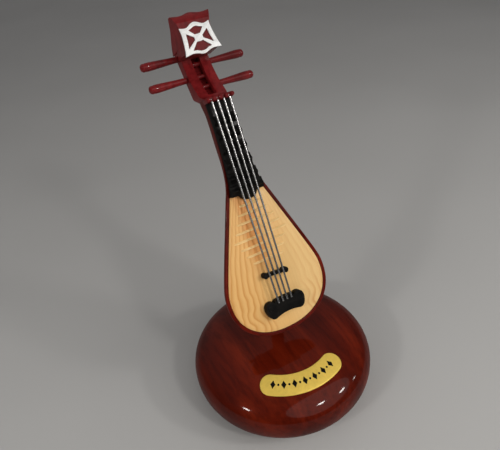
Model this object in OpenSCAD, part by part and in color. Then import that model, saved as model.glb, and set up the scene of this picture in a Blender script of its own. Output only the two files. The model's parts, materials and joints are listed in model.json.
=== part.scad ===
// Wind-up music box ornament: a small pipa that turns on a round lacquered base.
// Millimetres. Origin on the resting plane under the base's axis, front towards -Y, up +Z.

/* [Base] */
// Outside diameter of the round base
base_d = 120; // [114:1:130]
// Roundness exponent of the bun-shaped profile
base_pow = 2.44; // [2.2:0.02:2.8]
// Height of the widest circle above the table
base_mid = 19.4; // [18:0.1:21]
// Half-height of the full bun before its underside is cut flat
base_half = 22.4; // [21:0.1:24]
// Wall thickness of the turned wooden shell
base_wall = 4; // [3:0.5:5]
// Thickness of the non-slip pad
pad_t = 1; // [0.6:0.1:1.5]

/* [Label] */
// Radius of the middle of the brass label
label_r = 39.3; // [37:0.1:42]
// Width of the label band
label_w = 12.6; // [10:0.2:14]
// Half angle of the label band
label_half = 31.9; // [26:0.1:40]
// Angle of the label's middle from straight in front
label_turn = -9.4; // [-20:0.1:20]
// Thickness of the brass sheet
label_t = 0.6; // [0.4:0.1:1]

/* [Pipa body] */
// Backward lean of the instrument in degrees
lean = 29.1; // [24:0.1:34]
// Half width of the soundboard at the belly
belly_hw = 32; // [29:0.1:34]
// Distance from the butt end of the soundboard to its widest place
belly_v = 26.4; // [24:0.1:29]
// Length of the soundboard
board_len = 87.8; // [84:0.1:92]
// Narrowing of the half width per millimetre above the belly
taper = 0.385; // [0.37:0.005:0.395]
// Length over which the belly bends into the straight taper
shoulder = 7.7; // [6:0.1:9]
// Thickness of the soundboard
board_t = 2; // [1.6:0.1:2.6]
// Width of the dark rim round the soundboard
rim_w = 2.2; // [1.8:0.1:3]
// Depth of the bowl behind the soundboard
bowl_d = 16; // [14:0.5:19]
// Wall thickness of the bowl
bowl_wall = 2.6; // [2:0.1:3.2]

/* [Neck and strings] */
// Half width of the neck under the nut
neck_hw = 7.2; // [6.8:0.1:7.8]
// Position of the nut above the butt end
nut_v = 142.4; // [140:0.1:145]
// Thickness of the black fingerboard
finger_t = 3; // [2.4:0.1:3.4]
// Spacing of the strings at the nut
string_gap = 3.75; // [3.4:0.05:3.9]
// Diameter of a string
string_d = 1; // [0.6:0.05:1.05]
// Height of the strings over the board at the nut
string_nut_w = 7.6; // [7.2:0.1:8]
// Height of the strings over the board at the tailpiece
string_tail_w = 4.85; // [4.85:0.05:5.2]

/* [Head and pegs] */
// Half width of the pegbox
box_hw = 8.6; // [8.2:0.1:9]
// Half width of the slot between its cheeks
slot_hw = 2.75; // [2.3:0.05:3]
// Distance from the middle to the tip of a peg
peg_tip = 32.2; // [29:0.1:35]
// Radius of a peg at its thick outer end
peg_r = 2.5; // [2.2:0.05:2.7]
// Radius of a peg's shaft in its bore
peg_shaft_r = 1.35; // [1.2:0.05:1.4]

/* [Movement] */
// How far the pipa's turning axis stands behind the base's centre
turn_y = 4; // [3.8:0.1:4.2]
// Height of the movement's bedplate
bed_z = 15; // [15:0.5:16]

/* [Hidden] */
fit = 0.05;
base_r = base_d / 2;
foot_z = pad_t;
base_top = base_mid + base_half;
board_y = -14.25;
board_z = base_top + 19.3;
mid_v = belly_v;
rim_up = 0.5;
bowl_end = 96;
nut_half = 8.2;
bridge_v = 36.1;
tail_v = 15.6;
string_tail_v = 18.2;
row_v = [80.9, 75.85, 70.8, 65.75, 60.7, 55.65, 50.6, 45.55];
row_hw = [7.4, 10, 12.6, 15.2, 17.8, 15.3, 12.8, 10.3];
ridge_v = [131.3, 123, 114.6, 106.1, 97.8, 90.5];
ball_r = 1.3;
bed_t = 2;
gear_gap = 18;
barrel_y = -0.2;
barrel_x = sqrt(pow(gear_gap, 2) - pow(turn_y - barrel_y, 2));
wheel_dir = atan2(turn_y - barrel_y, -barrel_x);
posts = [[8, 19], [-10, -14], [16, -24]];
bush_r = 4.8;
gear_z = bed_z + bed_t + 0.5;
drum_z = gear_z + 2.5;
crown_z = drum_z + 5;
axle_z = crown_z + 0.6 + 4;
wood_dark = [0.30, 0.045, 0.03];
wood_red = [0.42, 0.06, 0.04];
wood_light = [0.88, 0.66, 0.38];
black_gloss = [0.02, 0.02, 0.02];
steel = [0.8, 0.8, 0.82];
brass = [0.8, 0.65, 0.3];

// ---- profiles ----
function sgn_pow(x, p) = sign(x) * pow(abs(x), p);
function bun(t, cut) = [
  (base_r - cut) * pow(abs(cos(t)), 2 / base_pow),
  base_mid + (base_half - cut) * sgn_pow(sin(t), 2 / base_pow)
];
function bun_t(z, cut) = asin(sgn_pow((z - base_mid) / (base_half - cut), base_pow / 2));
function bun_z(r) = base_mid + base_half * pow(1 - pow(r / base_r, base_pow), 1 / base_pow);
function arc_t(t0, t1, n) = [for (i = [0:n]) t0 + (t1 - t0) * i / n];

function board_hw(v) = v < mid_v
  ? belly_hw * pow(max(0, 1 - pow((mid_v - v) / mid_v, 2.2)), 1 / 2.2)
  : belly_hw - taper * (pow(pow(v - mid_v, 3) + pow(shoulder, 3), 1 / 3) - shoulder);
top_hw = board_hw(board_len);
function body_hw(v) = v < mid_v
  ? (belly_hw + rim_w) * pow(max(0, 1 - pow((mid_v - v) / (mid_v + rim_w), 2.2)), 1 / 2.2)
  : v < board_len
  ? board_hw(v) + rim_w
  : neck_hw + (top_hw + rim_w - neck_hw) * exp(-(v - board_len) / 14);
function finger_hw(v) = body_hw(v) - rim_w * exp(-(v - board_len) / 12);
function ease(x) = x < 0 ? 0 : x > 1 ? 1 : x * x * (3 - 2 * x);
function body_d(v) = v < mid_v
  ? bowl_d * pow(max(0, 1 - pow((mid_v - v) / (mid_v + rim_w), 3)), 1 / 3)
  : bowl_d - (bowl_d - 7.6) * ease((v - mid_v) / 76) + 3.9 * ease((v - 135) / 11);
// stations along the instrument, close together round the butt end
butt_v = [for (a = [86, 79, 71, 62, 52, 41, 29, 15]) mid_v - (mid_v + rim_w) * pow(sin(a), 2 / 2.2)];
long_v = [for (i = [0:14]) mid_v + i * (board_len - 2.6 - mid_v) / 14];
function section(v, up) = concat(
  [for (i = [0:24]) let (a = i * 7.5)
    [body_hw(v) * sgn_pow(cos(a), 0.84), max(0.25, body_d(v) * pow(abs(sin(a)), 0.92)), v]],
  [[-0.985 * body_hw(v), -up, v], [0.985 * body_hw(v), -up, v]]
);
function half_round(v) = [for (i = [0:24]) let (a = i * 7.5)
  [body_hw(v) * sgn_pow(cos(a), 0.84), i == 0 || i == 24 ? 0 : body_d(v) * pow(abs(sin(a)), 0.92), v]];
function hollow(v, k) = [for (i = [0:20]) let (a = i * 9)
  [k * (board_hw(v) - 2) * sgn_pow(cos(a), 0.84), 1.9 + k * (body_d(v) - bowl_wall - 1.9) * pow(abs(sin(a)), 0.92), v]];

module loft(rings) {
  n = len(rings[0]);
  m = len(rings);
  polyhedron(
    points = [for (r = rings) for (p = r) p],
    faces = concat(
      [[for (i = [0:n - 1]) i]],
      [[for (i = [n - 1:-1:0]) (m - 1) * n + i]],
      [for (k = [0:m - 2]) for (i = [0:n - 1]) [k * n + i, (k + 1) * n + i, (k + 1) * n + (i + 1) % n]],
      [for (k = [0:m - 2]) for (i = [0:n - 1]) [k * n + i, (k + 1) * n + (i + 1) % n, k * n + (i + 1) % n]]
    )
  );
}
// places a shape built in the soundboard's own axes: X across, -Y out of the board, Z towards the head
module on_board() translate([0, board_y, board_z]) rotate([-lean, 0, 0]) children();
// a front outline (across, along) given thickness from height a to height b over the board
module plate(a, b) translate([0, -a, 0]) rotate([90, 0, 0]) linear_extrude(b - a) children();
// a side profile (-height, along) given a half width
module across(hw) translate([-hw, 0, 0]) rotate([90, 0, 90]) linear_extrude(2 * hw) children();
module rod(p, q, r) {
  d = q - p;
  translate(p) rotate([0, acos(d[2] / norm(d)), atan2(d[1], d[0])]) cylinder(h = norm(d), r = r, $fn = 24);
}
function both(pts) = concat(pts, [for (i = [len(pts) - 1:-1:0]) if (pts[i][0] > 0.001) [-pts[i][0], pts[i][1]]]);
function board_outline() = both(concat(
  [[0, 0]],
  [for (a = [84:-6:6]) [belly_hw * pow(cos(a), 2 / 2.2), mid_v - mid_v * pow(sin(a), 2 / 2.2)]],
  [for (i = [0:22]) let (v = mid_v + i * (board_len - mid_v) / 22) [board_hw(v), v]]
));

// ---- base ----
module base_shell() {
  t_out = bun_t(foot_z, 0);
  t_in = bun_t(7, base_wall);
  color(wood_dark) difference() {
    rotate_extrude($fn = 96) polygon(concat(
      [for (t = arc_t(90, t_out, 34)) bun(t, 0)],
      [[36, foot_z], [36, 4], [32, 4], [32, 7]],
      [for (t = arc_t(t_in, 90, 24)) bun(t, base_wall)]
    ));
    translate([0, turn_y, base_top - 8]) cylinder(h = 10, r = bush_r, $fn = 48);
    for (a = [100, 190, 280]) rotate(a) translate([34, 0, 3]) cylinder(h = 3.65, r = 0.9, $fn = 24);
  }
}
module bottom_plate() {
  color([0.16, 0.05, 0.035]) difference() {
    union() {
      translate([0, 0, foot_z]) cylinder(h = 4 - foot_z, r = 35.8, $fn = 96);
      translate([barrel_x, barrel_y, foot_z]) cylinder(h = 14.2 - foot_z, r = 13.2, $fn = 64);
    }
    translate([barrel_x, barrel_y, -1]) cylinder(h = 14, r = 12, $fn = 64);
    translate([barrel_x, barrel_y, 12]) cylinder(h = 4, r = 1.5 + fit, $fn = 32);
    for (a = [100, 190, 280]) rotate(a) translate([34, 0, 0]) cylinder(h = 5, r = 0.9, $fn = 24);
    for (a = [100, 190, 280]) rotate(a) translate([34, 0, 0]) cylinder(h = foot_z + 1.1, r = 1.7, $fn = 24);
    for (p = posts) translate([p[0], p[1], 0]) cylinder(h = 5, r = 1.2, $fn = 24);
    for (p = posts) translate([p[0], p[1], 0]) cylinder(h = foot_z + 1.1, r = 2.4, $fn = 24);
  }
}
module base_pad() {
  color([0.03, 0.03, 0.03]) difference() {
    cylinder(h = pad_t, r = 31.5, $fn = 96);
    translate([barrel_x, barrel_y, -1]) cylinder(h = 4, r = 12.4, $fn = 64);
  }
}
module bottom_screws() {
  color(steel) for (a = [100, 190, 280]) rotate(a) translate([34, 0, 0]) difference() {
    union() {
      translate([0, 0, foot_z + 0.2]) cylinder(h = 0.9, r = 1.65, $fn = 24);
      translate([0, 0, foot_z + 1]) cylinder(h = 4.6, r = 0.9, $fn = 24);
    }
    translate([-2, -0.2, foot_z]) cube([4, 0.4, 0.6]);
  }
}
module label_band(lo, hi, inset) {
  ts = [for (t = arc_t(90, bun_t(foot_z, 0), 34)) if (bun(t, 0)[0] > 28 && bun(t, 0)[0] < 52 && t > 0) t];
  n = len(ts) - 1;
  r = label_r;
  hw = label_w / 2 - inset;
  intersection() {
    rotate_extrude($fn = 96) polygon(concat(
      [for (t = ts) bun(t, 0) + [0, lo]],
      [for (i = [n:-1:0]) bun(ts[i], 0) + [0, hi]]
    ));
    rotate(label_turn - 90) union() {
      intersection() {
        difference() {
          cylinder(h = 60, r = r + hw, $fn = 96);
          translate([0, 0, -1]) cylinder(h = 62, r = r - hw, $fn = 96);
        }
        linear_extrude(60) polygon([
          [0, 0], [70 * cos(label_half), -70 * sin(label_half)], [92, 0], [70 * cos(label_half), 70 * sin(label_half)]
        ]);
      }
      for (s = [-1, 1]) rotate(s * label_half) translate([r, 0, 0]) cylinder(h = 60, r = hw, $fn = 48);
    }
  }
}
module label_plate() color(brass) label_band(0, label_t, 0);
// stands on the plate: a plain row of lozenges and dots
module label_ornament() {
  ts = [for (t = arc_t(90, bun_t(foot_z, 0), 34)) if (bun(t, 0)[0] > 28 && bun(t, 0)[0] < 52 && t > 0) t];
  n = len(ts) - 1;
  color(black_gloss) intersection() {
    rotate_extrude($fn = 96) polygon(concat(
      [for (t = ts) bun(t, 0) + [0, label_t]],
      [for (i = [n:-1:0]) bun(ts[i], 0) + [0, label_t + 0.15]]
    ));
    rotate(label_turn - 90) union() {
      for (i = [-3:3]) rotate(i * 9.8) translate([label_r, 0, 0]) linear_extrude(60)
        polygon([[-2.5, 0], [0, -1.55], [2.5, 0], [0, 1.55]]);
      for (i = [-2.5:2.5]) rotate(i * 9.8) translate([label_r, 0, 0]) cylinder(h = 60, r = 0.62, $fn = 24);
    }
  }
}
module top_bush() {
  color(brass) translate([0, turn_y, base_top - 6]) difference() {
    cylinder(h = 5.7, r = bush_r, $fn = 48);
    translate([0, 0, -1]) cylinder(h = 10, r = 2.5 + fit, $fn = 48);
  }
}

// ---- movement ----
// axes of the musical movement: origin under the spring barrel, Y along the pin cylinder
module movement() translate([barrel_x, barrel_y, 0]) rotate(150) mirror([1, 0, 0]) children();
function tooth(n, m, add, ded) = [for (i = [0:n - 1]) for (c = [[-0.25, -ded], [-0.12, add], [0.12, add], [0.25, -ded]])
  let (a = (i + c[0]) * 360 / n, r = n * m / 2 + c[1]) [r * cos(a), r * sin(a)]];
module bedplate() {
  color(brass) translate([0, 0, bed_z]) difference() {
    intersection() {
      movement() translate([-24, -17, 0]) cube([46, 57, bed_t]);
      cylinder(h = bed_t, r = 48, $fn = 96);
    }
    translate([0, turn_y, -1]) cylinder(h = 4, r = 2.5 + fit, $fn = 48);
    translate([barrel_x, barrel_y, -1]) cylinder(h = 4, r = 1.5 + fit, $fn = 32);
    for (p = posts) translate([p[0], p[1], -1]) cylinder(h = 4, r = 1.2, $fn = 24);
  }
}
module standoffs() {
  color(steel) for (p = posts) translate([p[0], p[1], 0]) {
    translate([0, 0, foot_z + 0.2]) cylinder(h = 0.9, r = 2.3, $fn = 24);
    translate([0, 0, foot_z + 1]) cylinder(h = bed_z + bed_t - foot_z - 1, r = 1.2, $fn = 24);
    difference() {
      translate([0, 0, 4]) cylinder(h = bed_z - 4, r = 2.6, $fn = 24);
      translate([0, 0, 3]) cylinder(h = bed_z, r = 1.2, $fn = 24);
    }
  }
}
module bearing_blocks() {
  z = bed_z + bed_t;
  h = axle_z - z + 2.5;
  color(brass) movement() difference() {
    union() {
      translate([-3, 12.6, z]) cube([6, 2, h]);
      translate([-11, 35.6, z]) cube([14, 2, h]);
      translate([-11, 28.6, z]) cube([5.2, 2, h]);
    }
    translate([0, 5, axle_z]) rotate([-90, 0, 0]) cylinder(h = 40, r = 1 + fit, $fn = 24);
    translate([-8, 25, axle_z]) rotate([-90, 0, 0]) cylinder(h = 20, r = 0.8 + fit, $fn = 24);
  }
}
module comb() {
  z = bed_z + bed_t;
  color(steel) movement() union() {
    translate([13, 15.5, z]) cube([6.5, 15.5, axle_z - z]);
    translate([11, 15.5, axle_z]) cube([8.5, 15.5, 1]);
    for (i = [0:15]) translate([5.4, 15.6 + i * 0.97, axle_z]) cube([5.7, 0.7, 0.4]);
  }
}
module comb_screws() {
  color(brass) movement() for (y = [18.5, 28]) translate([16.2, y, axle_z + 1]) difference() {
    cylinder(h = 1.1, r = 1.7, $fn = 24);
    translate([-2, -0.25, 0.6]) cube([4, 0.5, 1]);
  }
}
module spring_barrel() {
  color(brass) translate([barrel_x, barrel_y, 0]) {
    difference() {
      union() {
        translate([0, 0, gear_z]) rotate(wheel_dir) linear_extrude(2) polygon(tooth(22, 1, 0.6, 0.9));
        translate([0, 0, gear_z + 2]) cylinder(h = crown_z - gear_z - 2, r = 10, $fn = 64);
        for (i = [0:26]) rotate(240 + i * 360 / 27) translate([8, 0, crown_z]) rotate([90, 0, 90])
          linear_extrude(1.9) polygon([[-0.5, -0.2], [0.5, -0.2], [0.24, 1.05], [-0.24, 1.05]]);
      }
      translate([0, 0, gear_z - 1]) cylinder(h = 6, r = 1.5 + fit, $fn = 32);
    }
  }
}
module pin_cylinder() {
  color(brass) movement() translate([0, 0, axle_z]) rotate([-90, 0, 0]) {
    translate([0, 0, 8]) rotate(15) linear_extrude(1.9) polygon(tooth(12, 2 / 3, 0.4, 0.65));
    translate([0, 0, 9.8]) cylinder(h = 28, r = 1, $fn = 24);
    translate([0, 0, 15.6]) cylinder(h = 15.4, r = 4.4, $fn = 48);
    translate([0, 0, 32.2]) linear_extrude(1.8) polygon(tooth(24, 0.5, 0.35, 0.5));
    for (i = [0:31]) rotate(i * 137.5) translate([4.2, 0, 15.95 + 0.97 * (i % 16)]) rotate([0, 90, 0])
      cylinder(h = 0.6, r = 0.22, $fn = 16);
  }
}
module governor_fly() {
  color(brass) movement() translate([-8, 0, axle_z]) rotate([-90, 0, 0]) {
    translate([0, 0, 28]) cylinder(h = 17, r = 0.8, $fn = 24);
    translate([0, 0, 32.2]) rotate(22.5) linear_extrude(1.8) polygon(tooth(8, 0.5, 0.35, 0.5));
    translate([-4.2, -0.3, 38.4]) cube([8.4, 0.6, 6]);
  }
}
module winding_arbor() {
  color(steel) translate([barrel_x, barrel_y, 8]) cylinder(h = gear_z + 4 - 8, r = 1.5, $fn = 32);
}
module winding_key() {
  color(brass) translate([barrel_x, barrel_y, 0]) difference() {
    union() {
      translate([0, 0, 4.4]) cylinder(h = 7.2, r = 2.7, $fn = 32);
      translate([0, 0.8, 0]) rotate([90, 0, 0]) for (s = [-1, 1]) translate([s * 5.6, 5.6, 0])
        cylinder(h = 1.6, r = 3.6, $fn = 40);
    }
    translate([0, 0, 8]) cylinder(h = 6, r = 1.5, $fn = 32);
    translate([0, 2, 0]) rotate([90, 0, 0]) for (s = [-1, 1]) translate([s * 6, 5.6, 0])
      cylinder(h = 4, r = 1.6, $fn = 32);
  }
}
module turntable_wheel() {
  color(brass) translate([0, turn_y, 0]) {
    translate([0, 0, gear_z]) rotate(wheel_dir + 180 + 360 / 28) linear_extrude(2) polygon(tooth(14, 1, 0.6, 0.9));
    translate([0, 0, bed_z - 3]) cylinder(h = base_top + 8 - bed_z, r = 2.5, $fn = 48);
  }
}

// ---- pipa body ----
module mounting_post() {
  color(wood_dark) translate([0, turn_y, 0]) difference() {
    union() {
      translate([0, 0, base_top + 0.35]) cylinder(h = 1.6, r = 5.2, $fn = 64);
      translate([0, 0, base_top + 1.9]) cylinder(h = 31.3, r = 4.6, $fn = 64);
    }
    translate([0, 0, base_top - 1]) cylinder(h = 6, r = 2.5, $fn = 48);
  }
}
module body_bowl() {
  color(wood_dark) difference() {
    on_board() difference() {
      loft(concat(
        [for (v = butt_v) section(v, rim_up)],
        [for (v = long_v) section(v, rim_up)],
        [for (v = [board_len - 0.7, 90.6, 93.3, bowl_end]) section(v, 0)]
      ));
      loft([for (p = [[4.5, 0.45], [5.5, 0.75], [8, 0.95], [13, 1], [20, 1], [32, 1], [45, 1], [58, 1], [70, 1],
        [80, 1], [84, 0.9]]) hollow(p[0], p[1])]);
      plate(-board_t, 3) polygon(board_outline());
    }
    translate([0, turn_y, base_top + 3]) cylinder(h = 32, r = 4.85, $fn = 12);
  }
}
module soundboard() {
  color(wood_light) on_board() plate(-board_t, 0) polygon(board_outline());
}
module board_frets() {
  color(wood_light) on_board() for (i = [0:7]) across(row_hw[i]) polygon([
    [0, row_v[i] - 0.7], [0, row_v[i] + 0.7], [-0.5, row_v[i] + 0.6], [-0.9, row_v[i] + 0.2],
    [-0.9, row_v[i] - 0.3], [-0.5, row_v[i] - 0.65]
  ]);
}
module small_bridge() {
  color(black_gloss) on_board() translate([0, 0, bridge_v]) rotate([0, 5, 0]) union() {
    translate([-6.6, 0, -1]) translate([0, -4.65, 0]) cube([13.2, 4.65, 2]);
    for (s = [-1, 1]) translate([s * 6.6, 0, 0]) rotate([90, 0, 0]) cylinder(h = 3.4, r = 1.9, $fn = 32);
  }
}
module tailpiece() {
  color(black_gloss) on_board() union() {
    plate(0, 4.3) polygon(both([[0, tail_v - 4.4], [3, tail_v - 4.7], [6, tail_v - 5.2], [8, tail_v - 5.7],
      [9.6, tail_v + 4], [6.8, tail_v + 4.7], [0, tail_v + 5]]));
    for (s = [-1, 1]) {
      translate([s * 9.3, 0, tail_v + 0.9]) rotate([90, 0, 0]) cylinder(h = 4.1, r = 4, $fn = 48);
      translate([s * 9.1, 0, tail_v - 3.6]) rotate([90, 0, 0]) cylinder(h = 4, r = 2.4, $fn = 32);
    }
  }
}
module neck() {
  color(wood_dark) on_board() loft([for (v = [bowl_end, 99, 103, 108, 114, 121, 128, 135, 138, 141, 143.5, 145.2])
    half_round(v)]);
}
module fingerboard() {
  vs = [for (i = [0:16]) board_len + i * (nut_v - board_len) / 16];
  color(black_gloss) on_board() union() {
    plate(0, finger_t) polygon(both(concat([[0, board_len]], [for (v = vs) [finger_hw(v), v]], [[0, nut_v]])));
    plate(0, finger_t) polygon([[-6, board_len], [-5.3, board_len - 2.2], [-3, board_len - 3.7], [0, board_len - 4.1],
      [3, board_len - 3.7], [5.3, board_len - 2.2], [6, board_len]]);
  }
}
function string_w(v) = string_tail_w + (string_nut_w - string_tail_w) * (v - string_tail_v) / (nut_v - string_tail_v);
module neck_frets() {
  color(black_gloss) on_board() for (v = ridge_v) across(finger_hw(v) + 0.15) polygon([
    [-finger_t, v + 3.6], [-finger_t - 0.8, v + 2.7], [-string_w(v) + 1.1, v + 0.55], [-string_w(v) + 0.75, v + 0.1],
    [-string_w(v) + 0.8, v - 0.4], [-finger_t - 1.4, v - 1.6], [-finger_t, v - 2.9]
  ]);
}
module nut() {
  color(wood_red) on_board() union() {
    plate(0, 6.6) polygon([[-nut_half, nut_v], [nut_half, nut_v], [nut_half, 145.2], [-nut_half, 145.2]]);
    for (i = [-2:2]) translate([i * string_gap, -7.7, nut_v + 1.4]) sphere(r = ball_r, $fn = 32);
  }
}
module string_at(k) {
  v_top = nut_v + 2.4;
  color(steel) on_board() rod(
    [k * string_gap, -string_w(v_top), v_top],
    [k * string_gap * 0.8, -string_w(string_tail_v), string_tail_v],
    string_d / 2
  );
}
module string_1() string_at(-1.5);
module string_2() string_at(-0.5);
module string_3() string_at(0.5);
module string_4() string_at(1.5);

// ---- head ----
peg_lu = [173, -14.6];
peg_ru = [167.6, -14.4];
peg_ll = [159.8, -12.2];
peg_rl = [153.4, -9.9];
module peg_bore(p, s) {
  translate([s * box_hw + s, -p[1], p[0]]) rotate([0, -s * 90, 0]) cylinder(h = 15, r = peg_shaft_r + fit, $fn = 32);
}
module pegbox() {
  color(wood_red) on_board() difference() {
    across(box_hw) polygon([[-1.9, 145.2], [1, 147], [3.8, 150.5], [6.8, 155.5], [9.4, 162], [11, 168], [11, 176.4],
      [20.9, 176.4], [18.9, 167.2], [16.8, 157.8], [14.2, 150.5], [11.5, 145.2]]);
    across(slot_hw) polygon([[-6, 147.4], [-6, 172], [6, 174.6], [17.4, 174.6], [15.9, 167], [13.4, 157], [8.6, 150],
      [4.5, 147.4]]);
    peg_bore(peg_lu, -1);
    peg_bore(peg_ru, 1);
    peg_bore(peg_ll, -1);
    peg_bore(peg_rl, 1);
  }
}
module head_finial() {
  color(wood_red) on_board() intersection() {
    plate(-30, 10) polygon(both([[0, 169.6], [11.3, 169.9], [9.8, 173.4], [9.1, 178.2], [9.3, 184.4], [10.2, 188],
      [11.8, 192.1], [9, 191.6], [6.4, 191.4], [4.2, 191.7], [1.4, 192.6], [0, 192.8]]));
    across(13) polygon([[-4.4, 169], [-4.4, 187.5], [-3.8, 189.8], [-2.6, 191.6], [-1.2, 192.9], [1.5, 191.6],
      [4, 190.3], [6.5, 188.8], [9, 187.3], [12, 185.8], [15, 183.8], [17.5, 181.6], [19.2, 179.4], [20.2, 177.3],
      [20.9, 176.4], [11, 176.4], [11, 169]]);
  }
}
module head_plate() {
  // fixed slightly askew on the face of the head
  color([0.9, 0.9, 0.9]) on_board() translate([0, 0, 177.7]) rotate([0, -3.7, 0]) translate([0, 0, -177.4])
    difference() {
    plate(4.4, 5.2) polygon(both([[0, 168.5], [3.1, 169.4], [6.3, 170.1], [11.4, 169.5], [9.95, 174.2], [9.2, 179.1],
      [9.1, 184.8], [5.1, 184.05], [1.9, 185.6], [0, 186.1]]));
    plate(4, 6) polygon(both([[0, 179.5], [1.7, 179.6], [4.4, 182.5], [0.6, 183.8], [0, 183.9]]));
    plate(4, 6) polygon(both([[0, 170.3], [1.5, 170.4], [5.9, 171.6], [1.9, 175.6], [0, 175.4]]));
    for (s = [-1, 1]) plate(4, 6) polygon([[s * 2.5, 178.2], [s * 6.5, 181.1], [s * 7, 178.2], [s * 7.9, 173],
      [s * 2.5, 176.8]]);
  }
}
module peg(p, s) {
  l = peg_tip - box_hw - 0.3;
  color(wood_red) on_board() translate([0, -p[1], p[0]]) mirror([s < 0 ? 1 : 0, 0, 0]) union() {
    translate([-4.2, 0, 0]) rotate([0, 90, 0]) cylinder(h = box_hw + 5, r = peg_shaft_r, $fn = 32);
    translate([box_hw + 0.3, 0, 0]) rotate([0, 90, 0]) rotate_extrude($fn = 32) polygon(concat(
      [[0, 0], [1.75, 0], [1.8, 2], [peg_r - 0.1, l - 7], [peg_r, l - 3]],
      [for (a = [0:15:90]) [peg_r * cos(a), l - peg_r + peg_r * sin(a)]]
    ));
  }
}
module peg_left_upper() peg(peg_lu, -1);
module peg_right_upper() peg(peg_ru, 1);
module peg_left_lower() peg(peg_ll, -1);
module peg_right_lower() peg(peg_rl, 1);

base_shell();
bottom_plate();
base_pad();
bottom_screws();
label_plate();
label_ornament();
top_bush();
bedplate();
standoffs();
bearing_blocks();
comb();
comb_screws();
spring_barrel();
pin_cylinder();
governor_fly();
winding_arbor();
winding_key();
turntable_wheel();
mounting_post();
body_bowl();
soundboard();
board_frets();
small_bridge();
tailpiece();
neck();
fingerboard();
neck_frets();
nut();
string_1();
string_2();
string_3();
string_4();
pegbox();
head_finial();
head_plate();
peg_left_upper();
peg_right_upper();
peg_left_lower();
peg_right_lower();
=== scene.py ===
"""A small pipa on a round lacquered music-box base, in metres."""
import json
import math

import bmesh
import bpy
from mathutils import Matrix, Vector

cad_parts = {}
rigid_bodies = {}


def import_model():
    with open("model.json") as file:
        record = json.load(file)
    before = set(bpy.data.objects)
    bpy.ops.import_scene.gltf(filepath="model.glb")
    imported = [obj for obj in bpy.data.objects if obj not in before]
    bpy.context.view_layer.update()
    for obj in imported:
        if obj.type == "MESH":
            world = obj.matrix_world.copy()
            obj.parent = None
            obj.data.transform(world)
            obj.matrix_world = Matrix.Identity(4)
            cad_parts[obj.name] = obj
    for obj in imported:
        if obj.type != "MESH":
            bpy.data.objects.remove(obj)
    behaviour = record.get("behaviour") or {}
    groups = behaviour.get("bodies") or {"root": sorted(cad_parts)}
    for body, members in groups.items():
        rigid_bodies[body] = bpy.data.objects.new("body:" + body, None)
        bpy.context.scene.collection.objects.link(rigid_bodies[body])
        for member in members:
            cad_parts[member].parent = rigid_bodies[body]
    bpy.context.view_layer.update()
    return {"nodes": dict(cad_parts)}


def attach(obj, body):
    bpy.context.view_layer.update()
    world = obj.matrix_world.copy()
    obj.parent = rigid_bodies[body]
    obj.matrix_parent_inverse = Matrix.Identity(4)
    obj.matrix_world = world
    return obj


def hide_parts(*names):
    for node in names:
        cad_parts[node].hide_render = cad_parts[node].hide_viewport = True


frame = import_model()

MM = 0.001

# ---------------------------------------------------------------- dimensions (millimetres)
# the base, a bun whose outline is a superellipse
BASE_R = 59.85
BASE_POW = 2.44
BASE_MID = 19.4
BASE_HALF = 22.4
BASE_TOP = BASE_MID + BASE_HALF
BASE_WALL = 4.0
FOOT_Z = 1.0
BOTTOM_R, BOTTOM_TOP = 36.0, 4.0  # the recess for the bottom plate
LEDGE_R, LEDGE_TOP = 32.0, 7.0  # the ledge that the bottom plate rests against
TURN_Y = 4.0  # the pipa's turning axis stands this far behind the base's middle
HOLE_R = 4.85  # the hole in the base's top round that axis
# the label: radius of its middle line, width, half its angle, its turn from the front, thickness
LABEL_R, LABEL_W, LABEL_HALF, LABEL_TURN, LABEL_T = 39.3, 12.6, 31.9, -9.4, 0.6
MOTIF_GAP = 4.9  # degrees between neighbouring motifs
# the soundboard's plane leans back; its lower end is at v = 0
LEAN = math.radians(29.1)
BOARD_Y, BOARD_Z = -14.25, BASE_TOP + 19.3
BELLY, MID_V, BOARD_LEN = 32.0, 26.4, 87.8  # half the widest width, where it is, and the board's length
BOARD_POW = 2.2  # its lower half is a superellipse
TAPER, SHOULDER = 0.385, 7.7  # above it narrows at this slope, which begins softly over this length
BOARD_PLAY = 0.05
RIM = 2.2  # the rim's width round the soundboard
# the bowl and the neck behind them
BOWL, NECK_HW, NECK_D = 16.0, 7.2, 7.6
NECK_FALL, RIM_FALL = 14.0, 12.0  # lengths over which the shoulder and the rim narrow to the neck
NECK_RUN = 76.0  # length over which the bowl's depth runs out into the neck's
HEEL_D, HEEL_V, HEEL_RUN = 3.9, 135.0, 11.0  # the extra depth under the nut, where it begins and its length
BOWL_SIDE, BOWL_BACK = 0.84, 0.92  # how full the section is, sideways and backwards
NECK_SQUARE, NECK_SWELL = 0.40, 1.4  # how much squarer and deeper the neck is
NUT_V, NUT_HW, NUT_TOP = 142.4, 8.15, 7.3
BEAD_R, BEAD_W = 1.29, 7.7
FINGER_T = 3.0
NECK_FRETS = (131.3, 123, 114.6, 106.1, 97.8, 90.5)
# the strings: radius, spacing at the nut, height at the nut and at the tailpiece, and their lower end
STRING_R, STRING_GAP, STRING_NUT, STRING_TAIL, STRING_TAIL_V = 0.64, 3.75, 7.6, 4.85, 18.2
WINDING_DEPTH, WINDING_PITCH = 0.02, 1.2
BRIDGE_V, BRIDGE_H, BRIDGE_TILT = 36.1, 4.6, math.radians(-5)
TAIL_V, TAIL_H = 15.6, 4.25
# the pegbox runs from BOX_V to HEAD_V
BOX_V, HEAD_V = 145.2, 176.4
BOX_HW, SLOT_HW = 8.6, 2.75
BORE_R, BORE_END = 1.42, 4.3  # the peg bores end this far past the middle, in the far cheek
PEGS = {"left_upper": (173.0, -14.6, -1, "peg_lu"), "right_upper": (167.6, -14.4, 1, "peg_ru"),
        "left_lower": (159.8, -12.2, -1, "peg_ll"), "right_lower": (153.4, -9.9, 1, "peg_rl")}
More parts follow.
